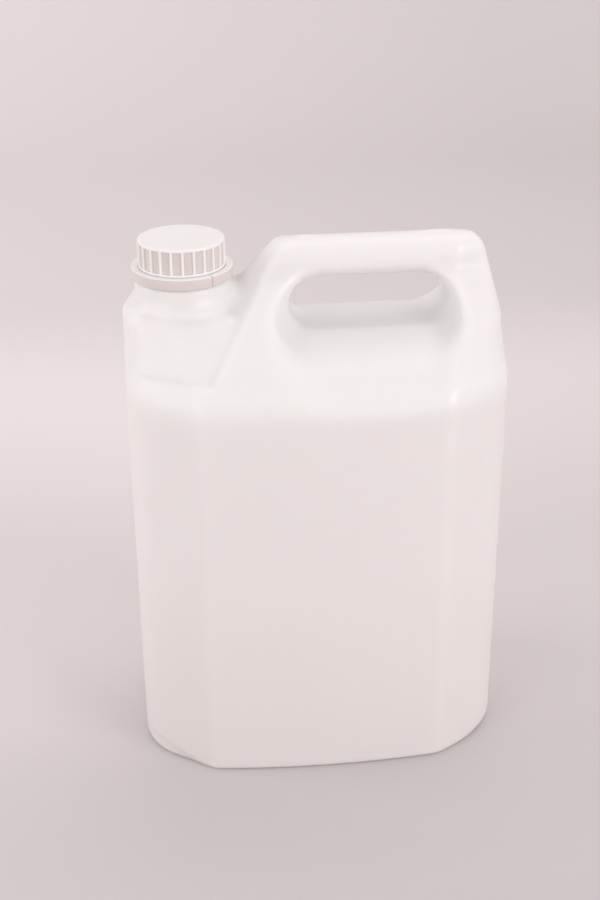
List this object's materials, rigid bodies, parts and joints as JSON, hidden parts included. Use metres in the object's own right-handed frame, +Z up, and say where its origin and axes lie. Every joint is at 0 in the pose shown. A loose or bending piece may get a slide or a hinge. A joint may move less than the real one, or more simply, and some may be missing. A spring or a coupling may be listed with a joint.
{
  "type": "plastic jerrycan",
  "caption": "Blow-moulded translucent jerrycan with an integral bar handle, recessed neck block, ribbed screw cap and tamper band, filled almost to the shoulder.",
  "frame": {"origin": "centre of the bounding box on the surface that the can stands on", "axes": "+Z up, +X towards the handle end away from the neck, +Y from the front panel to the back panel"},
  "size_m": [0.1962, 0.1324, 0.2842],
  "materials": {
    "natural_hdpe": "satin translucent natural plastic",
    "contents": "clear colourless liquid",
    "white_closure": "smooth white plastic",
    "liner_foam": "matte foam"
  },
  "bodies": {
    "can": {"bottle": "natural_hdpe", "liquid": "contents", "tamper_band": "white_closure"},
    "cap_rise": {"cap_liner": "liner_foam"},
    "cap": {"cap": "white_closure"}
  },
  "joints": [
    {"name": "cap_lift", "type": "slide", "parent": "can", "child": "cap_rise", "axis": [0, 0, 1], "range_m": [0, 0.0116]},
    {"name": "cap_turn", "type": "hinge", "parent": "cap_rise", "child": "cap", "pos_m": [-0.0668, 0, 0.27], "axis": [0, 0, 1], "range_deg": [0, 828]}
  ],
  "couplings": [
    {"joint": "cap_lift", "follows": "cap_turn", "m_per_rad": 0.00079577}
  ]
}
